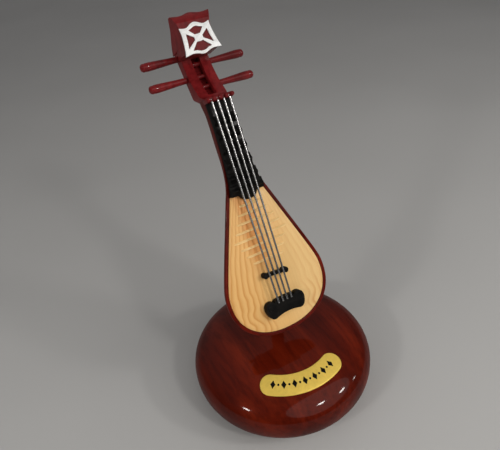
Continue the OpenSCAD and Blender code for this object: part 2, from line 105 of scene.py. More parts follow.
# the openwork plate turns about PLATE_V of its own outline, which lies at PLATE_SEAT on the head
PLATE_V, PLATE_SEAT, PLATE_TURN = 177.4, 177.7, math.radians(3.7)
HEAD_FACE, PLATE_T = 4.4, 0.8  # the height of the head's face, and the plate's thickness


def on_board(u, v, w):
    """A point given across, along and out of the soundboard, in metres."""
    return Vector((u, BOARD_Y + v * math.sin(LEAN) - w * math.cos(LEAN),
                   BOARD_Z + v * math.cos(LEAN) + w * math.sin(LEAN))) * MM


def spow(x, p):
    """x to the power p, with the sign of x."""
    return math.copysign(abs(x) ** p, x)


def bun_z(r):
    """The height of the base's upper surface at radius r."""
    return BASE_MID + BASE_HALF * max(0.0, 1 - (r / BASE_R) ** BASE_POW) ** (1 / BASE_POW)


def board_hw(v):
    """Half the soundboard's width."""
    if v < MID_V:
        return BELLY * max(0.0, 1 - ((MID_V - v) / MID_V) ** BOARD_POW) ** (1 / BOARD_POW)
    return BELLY - TAPER * (((v - MID_V) ** 3 + SHOULDER ** 3) ** (1 / 3) - SHOULDER)


TOP_HW = board_hw(BOARD_LEN)


def body_hw(v):
    """Half the width of the bowl and the neck, which the shoulder narrows to."""
    if v < BOARD_LEN:
        return board_hw(v) + RIM
    return NECK_HW + (TOP_HW + RIM - NECK_HW) * math.exp(-(v - BOARD_LEN) / NECK_FALL)


def finger_hw(v):
    """Half the fingerboard's width: inside the rim at its lower end, as wide as the neck above."""
    return body_hw(v) - RIM * math.exp(-(v - BOARD_LEN) / RIM_FALL)


def ease(x):
    """A smooth step from 0 to 1."""
    x = min(1.0, max(0.0, x))
    return x * x * (3 - 2 * x)


def body_d(v):
    """The depth of the back: the bowl runs out into the neck, which deepens again at the pegbox."""
    return BOWL - (BOWL - NECK_D) * ease((v - MID_V) / NECK_RUN) + HEEL_D * ease((v - HEEL_V) / HEEL_RUN)


def string_w(v):
    """The strings' height over the soundboard's plane."""
    return STRING_TAIL + (STRING_NUT - STRING_TAIL) * (v - STRING_TAIL_V) / (NUT_V - STRING_TAIL_V)


# ---------------------------------------------------------------- mesh helpers
def make(name, verts, faces, material, body, nodes=(), smooth=True, uv=False, sharp=None):
    """A new piece; with a body it rides on it, and it replaces the CAD nodes that are named."""
    mesh = bpy.data.meshes.new(name)
    mesh.from_pydata([tuple(p) for p in verts], [], faces)
    mesh.validate()
    obj = bpy.data.objects.new(name, mesh)
    bpy.context.scene.collection.objects.link(obj)
    weld(obj)
    finish_mesh(obj, smooth, sharp)
    if uv:
        board_uv(obj)
    obj.data.materials.append(material)
    if body:
        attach(obj, body)
    if nodes:
        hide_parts(*nodes)
    return obj


def weld(obj, dist=1e-6):
    """Joins points that coincide and turns all faces outwards."""
    bm = bmesh.new()
    bm.from_mesh(obj.data)
    bmesh.ops.remove_doubles(bm, verts=bm.verts, dist=dist)
    bmesh.ops.dissolve_degenerate(bm, edges=bm.edges, dist=dist)
    bmesh.ops.recalc_face_normals(bm, faces=bm.faces)
    bm.to_mesh(obj.data)
    bm.free()


def finish_mesh(obj, smooth=True, sharp=None):
    """Smooth shading, with edges over the angle sharp kept crisp."""
    for poly in obj.data.polygons:
        poly.use_smooth = smooth
    if sharp:
        obj.data.set_sharp_from_angle(angle=math.radians(sharp))


def board_uv(obj):
    """Across and along the soundboard, in decimetres, as the UV map."""
    layer = obj.data.uv_layers.new(name="board")
    c, s = math.cos(LEAN), math.sin(LEAN)
    for loop in obj.data.loops:
        p = obj.data.vertices[loop.vertex_index].co / MM
        y, z = p.y - BOARD_Y, p.z - BOARD_Z
        layer.data[loop.index].uv = (p.x / 100, (y * s + z * c) / 100)


def bake(obj):
    """Applies the object's modifiers."""
    graph = bpy.context.evaluated_depsgraph_get()
    mesh = bpy.data.meshes.new_from_object(obj.evaluated_get(graph))
    obj.modifiers.clear()
    obj.data = mesh


def cut(obj, tool, operation="DIFFERENCE"):
    """Takes the tool away from the piece, or keeps only what both share."""
    mod = obj.modifiers.new("cut", "BOOLEAN")
    mod.operation = operation
    mod.solver = "EXACT"
    mod.object = tool
    bake(obj)
    bpy.data.objects.remove(tool)


def bevel(obj, width, segments=3, angle=32):
    """Rounds the edges over the angle, with the width in millimetres."""
    mod = obj.modifiers.new("bevel", "BEVEL")
    mod.width = width * MM
    mod.segments = segments
    mod.limit_method = "ANGLE"
    mod.angle_limit = math.radians(angle)
    mod.use_clamp_overlap = True
    bake(obj)
    for poly in obj.data.polygons:
        poly.use_smooth = True
    obj.data.set_sharp_from_angle(angle=math.radians(50))


def steps(a, b, n):
    """n + 1 even steps from a to b."""
    return [a + (b - a) * i / n for i in range(n + 1)]


def spline(points, corners=(), closed=False, n=6):
    """A smooth line through the points, sharp at the numbered corners."""
    out = []
    m = len(points)
    last = m if closed else m - 1
    for i in range(last):
        p1, p2 = points[i % m], points[(i + 1) % m]
        p0 = points[(i - 1) % m] if (closed or i > 0) and i % m not in corners else None
        p3 = points[(i + 2) % m] if (closed or i + 2 < m) and (i + 1) % m not in corners else None
        if p0 is None:
            p0 = (2 * p1[0] - p2[0], 2 * p1[1] - p2[1])
        if p3 is None:
            p3 = (2 * p2[0] - p1[0], 2 * p2[1] - p1[1])
        for k in range(n):
            t = k / n
            out.append(tuple(0.5 * (2 * p1[a] + (p2[a] - p0[a]) * t
                                    + (2 * p0[a] - 5 * p1[a] + 4 * p2[a] - p3[a]) * t * t
                                    + (3 * p1[a] - p0[a] - 3 * p2[a] + p3[a]) * t ** 3) for a in (0, 1)))
    if not closed:
        out.append(points[-1])
    return out


def mirrored(half):
    """A closed outline from its right half, given from the bottom middle up to the top middle."""
    return half + [(-x, y) for x, y in reversed(half) if abs(x) > 1e-6]


def prism(outline, lo, hi, place):
    """A slab between two copies of an outline. place(a, b, h) gives a point."""
    n = len(outline)
    verts = [place(a, b, lo) for a, b in outline] + [place(a, b, hi) for a, b in outline]
    faces = [list(range(n))[::-1], list(range(n, 2 * n))]
    faces += [[i, (i + 1) % n, n + (i + 1) % n, n + i] for i in range(n)]
    return verts, faces


def front(a, b, h):
    """a is across the board, b along it, h out of it."""
    return on_board(a, b, h)


def side(a, b, h):
    """a is the height over the board, b the distance along it, h across it."""
    return on_board(h, b, a)


def grid_faces(rows, cols, wrap=False):
    """Faces between rows of points; wrap joins the end of each row to its start."""
    faces = []
    for i in range(rows - 1):
        low, high = i * cols, (i + 1) * cols
        for j in range(cols if wrap else cols - 1):
            k = (j + 1) % cols
            faces.append([low + j, low + k, high + k, high + j])
    return faces


def loft_faces(rows, cols, first=0):
    """Faces of a closed solid through rings of points, whose first point has the number first."""
    faces = grid_faces(rows, cols, True)
    faces += [list(range(cols))[::-1], list(range((rows - 1) * cols, rows * cols))]
    return [[first + k for k in face] for face in faces]


def turned(profile, place, n=64):
    """A closed turned shape from (radius, along) pairs; place(x, y, along) gives a point."""
    verts = []
    for r, s in profile:
        for k in range(n):
            a = 2 * math.pi * k / n
            verts.append(place(r * math.cos(a), r * math.sin(a), s))
    return verts, loft_faces(len(profile), n)


# ---------------------------------------------------------------- materials
def new_material(name, **values):
    """A material with the shader's sockets set, their names written with _ for spaces."""
    mat = bpy.data.materials.new(name)
    mat.use_nodes = True
    tree = mat.node_tree
    bsdf = next(n for n in tree.nodes if n.type == "BSDF_PRINCIPLED")
    for key, value in values.items():
        bsdf.inputs[key.replace("_", " ")].default_value = value
    return mat, tree, bsdf


def node(tree, kind, **settings):
    """A new node with its sockets or its settings set."""
    n = tree.nodes.new(kind)
    for key, value in settings.items():
        if key in n.inputs:
            n.inputs[key].default_value = value
        else:
            setattr(n, key, value)
    return n


def mapped(tree, scale, rotation=(0, 0, 0), source="Object"):
    """Scaled and turned coordinates."""
    coord = node(tree, "ShaderNodeTexCoord")
    mapping = node(tree, "ShaderNodeMapping")
    mapping.inputs["Scale"].default_value = scale
    mapping.inputs["Rotation"].default_value = rotation
    tree.links.new(coord.outputs[source], mapping.inputs["Vector"])
    return mapping.outputs["Vector"]


def noise(tree, vector, scale, detail=4.0, rough=0.55, distortion=0.0):
    """Cloudy noise over the coordinates."""
    n = node(tree, "ShaderNodeTexNoise")
    n.inputs["Scale"].default_value = scale
    n.inputs["Detail"].default_value = detail
    n.inputs["Roughness"].default_value = rough
    n.inputs["Distortion"].default_value = distortion
    tree.links.new(vector, n.inputs["Vector"])
    return n.outputs["Fac"]


def ramp(tree, fac, stops):
    """A colour ramp through (position, colour) stops."""
    r = node(tree, "ShaderNodeValToRGB")
    els = r.color_ramp.elements
    while len(els) < len(stops):
        els.new(0.5)
    for el, (pos, col) in zip(els, stops):
        el.position = pos
        el.color = (*col, 1)
    tree.links.new(fac, r.inputs["Fac"])
    return r.outputs["Color"]


def blend_color(tree, kind, fac, a, b):
    """Two colours blended, where the amount and the second may be sockets or constants."""
    m = node(tree, "ShaderNodeMix", data_type="RGBA", blend_type=kind)
    if isinstance(fac, (int, float)):
        m.inputs[0].default_value = fac
    else:
        tree.links.new(fac, m.inputs[0])
    tree.links.new(a, m.inputs[6])
    if isinstance(b, tuple):
        m.inputs[7].default_value = (*b, 1)
    else:
        tree.links.new(b, m.inputs[7])
    return m.outputs[2]


def smooth_range(tree, value, low, high, to=(0.0, 1.0), kind="SMOOTHSTEP"):
    """Maps the value from low..high to another range along a smooth step."""
    n = node(tree, "ShaderNodeMapRange", interpolation_type=kind)
    for key, number in zip(("From Min", "From Max", "To Min", "To Max"), (low, high, *to)):
        n.inputs[key].default_value = number
    tree.links.new(value, n.inputs["Value"])
    return n.outputs[0]


def math_node(tree, op, a, b=None):
    """A sum or the like of one or two sockets or constants."""
    m = node(tree, "ShaderNodeMath", operation=op)
    for i, x in enumerate((a, b)):
        if x is None:
            continue
        if isinstance(x, (int, float)):
            m.inputs[i].default_value = x
        else:
            tree.links.new(x, m.inputs[i])
    return m.outputs[0]


def bump(tree, bsdf, height, strength, distance=0.0002, socket="Normal"):
    """Fine relief from a height, on the surface or on its clear coat."""
    b = node(tree, "ShaderNodeBump")
    b.inputs["Strength"].default_value = strength
    b.inputs["Distance"].default_value = distance
    tree.links.new(height, b.inputs["Height"])
    tree.links.new(b.outputs["Normal"], bsdf.inputs[socket])


def lacquer(name, dark, mid, light, grain, rotation, coat, coat_rough=0.065):
    """Clear gloss over stained wood: long soft streaks, fine pores, a very slight orange peel in the coat."""
    mat, tree, bsdf = new_material(name, Roughness=0.5, Coat_Weight=coat, Coat_Roughness=coat_rough,
                                   Coat_IOR=1.6)
    bsdf.inputs["Specular IOR Level"].default_value = 0.03
    v = mapped(tree, grain, rotation)
    wide = noise(tree, v, 1.0, 3, 0.5, 0.6)
    base = ramp(tree, wide, [(0.28, dark), (0.5, mid), (0.72, light)])
    fine = noise(tree, mapped(tree, tuple(g * 7 for g in grain), rotation), 1.0, 5, 0.62)
    pores = ramp(tree, fine, [(0.36, (0.45, 0.42, 0.40)), (0.55, (1, 1, 1))])
    color = blend_color(tree, "MULTIPLY", 0.5, base, pores)
    tree.links.new(color, bsdf.inputs["Base Color"])
    peel = noise(tree, mapped(tree, (150, 150, 150)), 1.0, 2, 0.5)
    bump(tree, bsdf, peel, 0.012, 0.0002, "Coat Normal")
    return mat


def board_wood(name="honey_softwood"):
    """Flat-sawn softwood: year rings as long loops that follow the outline, plain in the middle."""
    mat, tree, bsdf = new_material(name, Roughness=0.38, Coat_Weight=0.2, Coat_Roughness=0.2, Coat_IOR=1.4)
    bsdf.inputs["Specular IOR Level"].default_value = 0.15

    def add(a, b):
        return math_node(tree, "ADD", a, b)

    def subtract(a, b):
        return math_node(tree, "SUBTRACT", a, b)

    def multiply(a, b):
        return math_node(tree, "MULTIPLY", a, b)

    def cloud(scale, detail, rough):
        return noise(tree, mapped(tree, scale, source="UV"), 1.0, detail, rough)

    place = node(tree, "ShaderNodeSeparateXYZ")
    tree.links.new(mapped(tree, (1, 1, 1), source="UV"), place.inputs[0])
    x, y = place.outputs["X"], place.outputs["Y"]
    low = smooth_range(tree, y, 0.34, 0.10)
    wander = subtract(cloud((2.6, 1.5, 1), 2, 0.5), 0.5)
    waves = subtract(cloud((5.5, 9.0, 1), 1, 0.4), 0.5)

    # the rings run down the board, drawn together where it narrows
    width = subtract(0.33, multiply(math_node(tree, "MAXIMUM", add(y, -0.30), 0.0), TAPER))
    r = math_node(tree, "DIVIDE", math_node(tree, "ABSOLUTE", add(x, -0.03)), width)
    unrest = multiply(multiply(waves, 0.42), add(multiply(low, 0.85), 0.10))
    r = add(r, add(multiply(wander, 0.34), unrest))

    # each ring darkens slowly through its late wood and ends at once
    late = node(tree, "ShaderNodeValToRGB")
    els = late.color_ramp.elements
    for pos in (0.5, 0.8, 0.9):
        els.new(pos)
    for el, (pos, value) in zip(els, ((0.0, 0.12), (0.12, 0.0), (0.45, 0.18), (0.84, 1.0), (1.0, 0.12))):
        el.position, el.color = pos, (value, value, value, 1)
    tree.links.new(math_node(tree, "FRACT", multiply(r, 7.2)), late.inputs["Fac"])

    # they show most on the left and at the lower end, and not in the middle
    left = smooth_range(tree, x, 0.06, -0.10, (0.34, 1.0))
    rim = smooth_range(tree, r, 0.22, 0.50)
    strength = multiply(math_node(tree, "MAXIMUM", left, low), rim)
    strength = multiply(strength, add(multiply(cloud((4, 2.2, 1), 2, 0.5), 0.9), 0.4))
    early = ramp(tree, x, [(0.0, (0.87, 0.53, 0.20)), (0.20, (0.89, 0.60, 0.265))])
    shown = multiply(multiply(late.outputs["Color"], strength), 0.85)
    color = blend_color(tree, "MIX", shown, early, (0.68, 0.29, 0.070))

    # painted shade: a warmer, redder band runs down the middle of the upper half, standing in for the strings'
    # shadows on the board
    off_middle = math_node(tree, "ABSOLUTE", add(add(x, 0.045), multiply(wander, 0.05)))
    painted_string_shade = smooth_range(tree, off_middle, 0.085, 0.015, kind="SMOOTHERSTEP")
    high = smooth_range(tree, y, 0.30, 0.55)
    color = blend_color(tree, "MULTIPLY", multiply(multiply(painted_string_shade, high), 0.8), color, (0.90, 0.66, 0.50))

    fibre = cloud((150, 6, 1), 4, 0.6)
    fibre_color = ramp(tree, fibre, [(0.3, (0.82, 0.74, 0.64)), (0.6, (1, 1, 1))])
    color = blend_color(tree, "MULTIPLY", 0.30, color, fibre_color)
    tree.links.new(color, bsdf.inputs["Base Color"])
    bump(tree, bsdf, fibre, 0.06, 0.0001)
    return mat


def black_gloss(name, rough):
    """Black paint with the slight unevenness of the brush."""
    mat, tree, bsdf = new_material(name, Roughness=rough, Coat_Weight=0.04, Coat_Roughness=0.12,
                                   Coat_IOR=1.45)
    bsdf.inputs["Specular IOR Level"].default_value = 0.05
    n = noise(tree, mapped(tree, (220, 220, 220)), 1.0, 3, 0.5)
    color = ramp(tree, n, [(0.3, (0.004, 0.004, 0.004)), (0.7, (0.011, 0.010, 0.009))])
    tree.links.new(color, bsdf.inputs["Base Color"])
    tree.links.new(ramp(tree, n, [(0.3, (rough,) * 3), (0.7, (rough + 0.08,) * 3)]), bsdf.inputs["Roughness"])
    bump(tree, bsdf, n, 0.06, 0.0002)
    return mat


def metal(name, color, rough, scale=300, bumpy=0.03, metallic=1.0):
    """Metal that is a little duller and darker in fine patches."""
    mat, tree, bsdf = new_material(name, Metallic=metallic, Roughness=rough)
    bsdf.inputs["Specular IOR Level"].default_value = 0.2
    n = noise(tree, mapped(tree, (scale,) * 3), 1.0, 4, 0.6)
    dark = tuple(c * 0.86 for c in color)
    tree.links.new(ramp(tree, n, [(0.3, dark), (0.65, color)]), bsdf.inputs["Base Color"])
    tree.links.new(ramp(tree, n, [(0.3, (rough + 0.08,) * 3), (0.7, (rough,) * 3)]), bsdf.inputs["Roughness"])
    bump(tree, bsdf, n, bumpy, 0.0001)
    return mat


def matte(name, dark, light, rough, scale=400, strength=0.3):
    """A dull, finely grained surface."""
    mat, tree, bsdf = new_material(name, Roughness=rough)
    n = noise(tree, mapped(tree, (scale,) * 3), 1.0, 5, 0.65)
    tree.links.new(ramp(tree, n, [(0.3, dark), (0.7, light)]), bsdf.inputs["Base Color"])
    bump(tree, bsdf, n, strength, 0.0003)
    return mat


M_BASE = lacquer("base_lacquer", (0.056, 0.0036, 0.0007), (0.100, 0.0072, 0.0014), (0.160, 0.0140, 0.0030),
                 grain=(58, 8, 58), rotation=(0, 0, math.radians(28)), coat=0.26)
M_BACK = lacquer("back_lacquer", (0.060, 0.0035, 0.0018), (0.110, 0.0070, 0.0035), (0.165, 0.0130, 0.0055),
                 grain=(60, 60, 8), rotation=(-LEAN, 0, 0), coat=0.18)
M_RED = lacquer("red_lacquer", (0.110, 0.0065, 0.0075), (0.160, 0.0100, 0.0115), (0.215, 0.0155, 0.0170),
                grain=(70, 70, 16), rotation=(-LEAN, 0, 0), coat_rough=0.08, coat=0.34)
M_BOARD = board_wood()
# painted highlight: the strips' wood is paler than the board's, standing in for the light their upper slopes
# catch
M_STRIP = matte("strip_wood_painted_lit", (0.86, 0.56, 0.22), (1.0, 0.72, 0.34), 0.42, 220, 0.05)
M_BLACK = black_gloss("black_gloss", 0.5)
M_ENAMEL = black_gloss("black_enamel", 0.3)
M_STRING = metal("string_steel", (0.46, 0.455, 0.455), 0.2)
M_SILVER = metal("silver_plate", (0.88, 0.89, 0.89), 0.5, metallic=0.2)
M_LABEL = metal("label_brass", (0.96, 0.68, 0.13), 0.40, 260, 0.05, 0.3)
M_BRASS = metal("movement_brass", (0.72, 0.52, 0.20), 0.28)
M_STEEL = metal("steel", (0.60, 0.60, 0.62), 0.30)
M_PAD = matte("pad_rubber", (0.010, 0.010, 0.010), (0.022, 0.022, 0.022), 0.8)
M_PLATE = matte("stained_board", (0.030, 0.012, 0.008), (0.060, 0.022, 0.014), 0.6, 160, 0.2)

# ---------------------------------------------------------------- the base
def bun_point(t, inside=0.0):
    """The base's outline as (radius, height) at angle t, set in by a distance."""
    return ((BASE_R - inside) * abs(math.cos(t)) ** (2 / BASE_POW),
            BASE_MID + (BASE_HALF - inside) * spow(math.sin(t), 2 / BASE_POW))


def bun_t(z, inside=0.0):
    """The angle at which that outline has the height z."""
    return math.asin(spow((z - BASE_MID) / (BASE_HALF - inside), BASE_POW / 2))


def bun_steps(a, b, n):
    """Angles from a to b, closer together at the crown, where the radius changes fastest."""
    return [a + (b - a) * (i / n) ** 1.6 for i in range(n + 1)]


def about_turn(x, y, z):
    """A point given from the pipa's turning axis."""
    return Vector((x, TURN_Y + y, z)) * MM


def ring_shell(profile, n=160):
    """A solid of revolution from a closed profile that keeps clear of the axis."""
    verts = []
    for r, z in profile:
        for k in range(n):
            a = 2 * math.pi * k / n
            verts.append(Vector((r * math.cos(a), r * math.sin(a), z)) * MM)
    faces = []
    for i in range(len(profile)):
        low, high = i * n, (i + 1) % len(profile) * n
        for k in range(n):
            j = (k + 1) % n
            faces.append([low + k, low + j, high + j, high + k])
    return verts, faces


crown = math.radians(89.0)
shell = [(0.3, BASE_TOP - BASE_WALL), (0.3, BASE_TOP - 0.02)]
shell += [bun_point(t) for t in bun_steps(crown, bun_t(1.9), 84)]
shell += [(39.6, FOOT_Z + 0.15), (38.8, FOOT_Z), (BOTTOM_R, FOOT_Z), (BOTTOM_R, BOTTOM_TOP)]
shell += [(LEDGE_R, BOTTOM_TOP), (LEDGE_R, LEDGE_TOP)]
shell += [bun_point(t, BASE_WALL) for t in steps(bun_t(LEDGE_TOP, BASE_WALL), crown, 36)]
base_obj = make("base_body", *ring_shell(shell), M_BASE, None, sharp=50)
verts, faces = turned([(HOLE_R, BASE_TOP - 9), (HOLE_R, BASE_TOP + 2)], about_turn)
cut(base_obj, make("hole_tool", verts, faces, M_BASE, None, smooth=False))
finish_mesh(base_obj, True, 50)
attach(base_obj, "base")
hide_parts("base_shell")


# ---------------------------------------------------------------- the label on the crowned top
def polar(out, aside, angle):
    """The point that lies out and aside from the middle in a direction."""
    c, s = math.cos(angle), math.sin(angle)
    return out * c - aside * s, out * s + aside * c


def label_point(out, aside, angle, lift):
    """A point over the base's surface, at an angle from the label's middle."""
    x, y = polar(*polar(out, aside, angle), math.radians(LABEL_TURN - 90))
    return Vector((x, y, bun_z(math.hypot(x, y)) + lift)) * MM


def label_ring(inset, lift):
    """One closed line round the label, with two round ends, a fraction of the way in from its edge."""
    reach, end = LABEL_W / 2 * (1 - inset), math.radians(LABEL_HALF)
    ring = [label_point(LABEL_R + reach, 0, a, lift) for a in steps(-end, end, 44)]
    for b in steps(0, math.pi, 20)[1:-1]:
        ring.append(label_point(LABEL_R + reach * math.cos(b), reach * math.sin(b), end, lift))
    ring += [label_point(LABEL_R - reach, 0, a, lift) for a in steps(end, -end, 44)]
    for b in steps(math.pi, 0, 20)[1:-1]:
        ring.append(label_point(LABEL_R + reach * math.cos(b), -reach * math.sin(b), -end, lift))
    return ring


label_edge = [(0.98, 0.05), (0.3, 0.05), (0, 0.02), (0, 0.34), (0.015, 0.50), (0.05, 0.59)]
label_top = [(inset, LABEL_T) for inset in (0.12, 0.3, 0.5, 0.7, 0.85, 0.98)]
rings = [label_ring(inset, lift) for inset, lift in label_edge + label_top]
make("label_strip", [p for ring in rings for p in ring], loft_faces(len(rings), len(rings[0])), M_LABEL, "base",
     ["label_plate"], sharp=60)


def label_motif(points, angle):
    """A raised motif on the label: its foot, its edge and its slightly smaller top."""
    layers = ((LABEL_T - 0.03, 1.0), (LABEL_T + 0.10, 1.0), (LABEL_T + 0.15, 0.9))
    return [label_point(LABEL_R + a * size, b * size, math.radians(angle), lift)
            for lift, size in layers for a, b in points]


# plain ornament: lozenges with dots between
lozenge = [(2.5, 0), (1.2, 0.76), (0, 1.6), (-1.2, 0.76), (-2.5, 0), (-1.2, -0.76), (0, -1.6), (1.2, -0.76)]
lozenge = spline(lozenge, corners=(0, 2, 4, 6), closed=True, n=4)
dot = [(0.66 * math.cos(t), 0.66 * math.sin(t)) for t in steps(0, 2 * math.pi, 24)[:-1]]
verts, faces = [], []
for i in range(-6, 7):
    motif = lozenge if i % 2 == 0 else dot
    faces += loft_faces(3, len(motif), len(verts))
    verts += label_motif(motif, i * MOTIF_GAP)
make("label_ornament_raised", verts, faces, M_ENAMEL, "base", ["label_ornament"], sharp=40)

# ---------------------------------------------------------------- the post
post = [(0.3, 0.4), (4.9, 0.4), (5.15, 0.65), (5.15, 1.3), (4.9, 1.7), (4.4, 2.1), (4.1, 3.0), (4.2, 5),
        (4.5, 8), (4.55, 14), (4.55, 32.5), (0.3, 32.5)]
verts, faces = turned([(r, BASE_TOP + h) for r, h in post], about_turn)
make("turned_post", verts, faces, M_BACK, "pipa", ["mounting_post"], sharp=50)

# ---------------------------------------------------------------- the pipa's back: bowl and neck in one
# the rim's section: the fraction of the way in from its outside, and the height over the board's plane
RIM_PROFILE = [(1.0, -1.1), (1.0, -0.2), (0.985, 0.22), (0.93, 0.44), (0.82, 0.52), (0.55, 0.55), (0.3, 0.55),
               (0.14, 0.46), (0.04, 0.28), (0.0, 0.0)]
# directions of the section's points below the rim, from its side round to the middle of the back
PHI = [math.radians(83 - 7 * i) for i in range(11)] + [math.radians(6.5)]


def lower_column(t):
    """The section of the butt half in direction t: 0 is straight right, 90 straight down."""
    c, s = spow(math.cos(t), 2 / BOARD_POW), spow(math.sin(t), 2 / BOARD_POW)
    col = []
    for f, w in RIM_PROFILE:
        out = RIM * (1 - f)
        col.append(on_board((BELLY + out) * c, MID_V - (MID_V + out) * s, w))
    for p in PHI:
        k = math.sin(p) ** BOWL_SIDE
        depth = BOWL * math.cos(p) ** BOWL_BACK
        col.append(on_board((BELLY + RIM) * c * k, MID_V - (MID_V + RIM) * s * k, -depth))
    col.append(on_board(0, MID_V, -BOWL))
    return col


def upper_column(v, sign):
    """The section at v, on the right with sign 1 and on the left with -1, squarer along the neck."""
    raised = 1 - ease((v - BOARD_LEN - 0.3) / 1.2)
    outer, inner = body_hw(v), min(board_hw(min(v, BOARD_LEN)), body_hw(v) - 0.6)
    square = ease((v - 92) / 30)
    depth = body_d(v) + NECK_SWELL * square
    col = []
    for f, w in RIM_PROFILE:
        col.append(on_board(sign * (outer + (inner - outer) * f), v, w * raised - 0.02 * (1 - raised)))
    for p in PHI:
        k = math.sin(p) ** (BOWL_SIDE - NECK_SQUARE * square)
        col.append(on_board(sign * outer * k, v, -depth * math.cos(p) ** (BOWL_BACK - NECK_SQUARE * square)))
    col.append(on_board(0, v, -depth))
    return col


vs = steps(MID_V, BOARD_LEN, 46) + steps(BOARD_LEN, BOARD_LEN + 2, 6)[1:]
vs += steps(BOARD_LEN + 2, BOX_V, 36)[1:]
columns = [upper_column(v, 1) for v in reversed(vs)]
columns += [lower_column(t) for t in steps(0, math.pi, 90)[1:-1]]
columns += [upper_column(v, -1) for v in vs]
n, m = len(columns[0]), len(columns)
faces = grid_faces(m, n)
# the bed under the soundboard joins the inner ends of the sections that face each other
for i in range(m // 2):
    a, b, c, d = i * n, (i + 1) * n, (m - 2 - i) * n, (m - 1 - i) * n
    faces.append([a, b, c, d] if b != c else [a, b, d])
# the neck's upper end
faces.append([k for k in range(n)] + [(m - 1) * n + k for k in range(n - 2, -1, -1)])
make("pipa_back", [p for c in columns for p in c], faces, M_BACK, "pipa", ["body_bowl", "neck"], sharp=60)

# ---------------------------------------------------------------- soundboard
half = [(0, 0.06)]
for t in steps(math.radians(87), 0, 44):
    u = (BELLY - BOARD_PLAY) * math.cos(t) ** (2 / BOARD_POW)
    half.append((u, MID_V - (MID_V - 0.06) * math.sin(t) ** (2 / BOARD_POW)))
half += [(board_hw(v) - BOARD_PLAY, v) for v in steps(MID_V, BOARD_LEN - BOARD_PLAY, 60)[1:]]
verts, faces = prism(mirrored(half), -1.0, 0.0, front)
board_obj = make("soundboard_face", verts, faces, M_BOARD, None, smooth=False)
bevel(board_obj, 0.14, 2, 60)
board_uv(board_obj)
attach(board_obj, "pipa")
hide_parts("soundboard")

# ---------------------------------------------------------------- the raised frets on the soundboard
FRET_TOP_V, FRET_GAP, FRET_TIP = 80.9, 5.05, 2.6
FRET_HALVES = (7.4, 10, 12.6, 15.2, 17.8, 15.3, 12.8, 10.3)
# (along, out of the board): steep towards the tailpiece, with a long slope up the board
FRET_SECTION = ((-0.72, -0.1), (-0.72, 0.7), (-0.62, 1.1), (-0.4, 1.25), (-0.15, 1.2), (0.3, 0.7), (0.72, 0.12),
                (0.76, -0.1))
verts, faces = [], []
for i, hw in enumerate(FRET_HALVES):
    fret_v = FRET_TOP_V - FRET_GAP * i
    us = steps(-hw, -hw + FRET_TIP, 5) + steps(-hw + FRET_TIP, hw - FRET_TIP, 8)[1:-1]
    us += steps(hw - FRET_TIP, hw, 5)
    faces += loft_faces(len(us), len(FRET_SECTION), len(verts))
    for u in us:
        k = 0.3 + 0.7 * math.sin(min(1.0, (hw - abs(u)) / FRET_TIP) * math.pi / 2)
        for dv, w in FRET_SECTION:
            verts.append(on_board(u, fret_v + dv * (0.45 + 0.55 * k), w * k if w > 0 else w))
make("raised_board_frets", verts, faces, M_STRIP, "pipa", ["board_frets"], uv=True, sharp=50)


# ---------------------------------------------------------------- tailpiece with its two curls
def on_tail(a, b, h):
    """A point given from the tailpiece's middle."""
    return on_board(a, TAIL_V + b, h)


tail = [(0, -4.5), (3.6, -4.75), (6.2, -5.3), (7.9, -5.75), (9.4, -6.0), (11.0, -5.4), (12.3, -3.8),
        (13.1, -1.4), (13.3, 0.9), (12.7, 3.1), (11.2, 4.5), (9.2, 4.9), (7.6, 4.3), (6.9, 3.2), (6.2, 4.4),
        (5.2, 4.9), (0, 5.0)]
outline = [(max(0, x), y) for x, y in spline(tail, corners=(13,), n=5)]
verts, faces = prism(mirrored(outline), 0, TAIL_H, on_tail)
tp = make("bat_tailpiece", verts, faces, M_BLACK, None, smooth=False)
bevel(tp, 0.9, 4, 60)
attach(tp, "pipa")
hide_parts("tailpiece")


def bead_line(points, r, n=10):
    """A round-backed raised line through points (u, v, w), thinner towards its ends."""
    verts = []
    m = len(points)
    for i, (u, v, w) in enumerate(points):
        a, b = points[max(0, i - 1)], points[min(m - 1, i + 1)]
        du, dv = b[0] - a[0], b[1] - a[1]
        length = math.hypot(du, dv) or 1
        thick = r * math.sin(math.pi * min(1, max(0.06, (i + 0.5) / m)) ** 0.8) ** 0.5
        for j in range(n):
            t = 2 * math.pi * j / n
            aside = thick * math.cos(t)
            verts.append(on_board(u - dv / length * aside, v + du / length * aside, w + thick * math.sin(t)))
    return verts, loft_faces(m, n)


for s, tag in ((-1, "left"), (1, "right")):
    curl = []
    for f in steps(0, 1, 33):
        a, r = math.radians(120 - 330 * f), 2.9 - 1.9 * f
        curl.append((s * (9.5 + r * math.cos(a)), TAIL_V + 0.9 + r * math.sin(a), TAIL_H - 0.05))
    make("tailpiece_curl_" + tag, *bead_line(curl, 0.38), M_BLACK, "pipa")


# ---------------------------------------------------------------- small bridge
def on_bridge(a, b, h):
    """A point given from the middle of the bridge, which stands askew."""
    u, v = polar(a, b, BRIDGE_TILT)
    return on_board(u, BRIDGE_V + v, h)


half = spline([(0, -1.0), (4.4, -1.0), (5.6, -1.35), (6.9, -1.8), (8.2, -1.1), (8.5, 0.2), (7.8, 1.5),
               (6.4, 1.8), (5.3, 1.35), (4.4, 1.0), (0, 1.0)], n=5)
verts, faces = prism(mirrored(half), 0, BRIDGE_H, on_bridge)
bridge = make("small_black_bridge", verts, faces, M_BLACK, None, smooth=False)
bevel(bridge, 0.5, 3, 50)
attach(bridge, "pipa")
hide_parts("small_bridge")

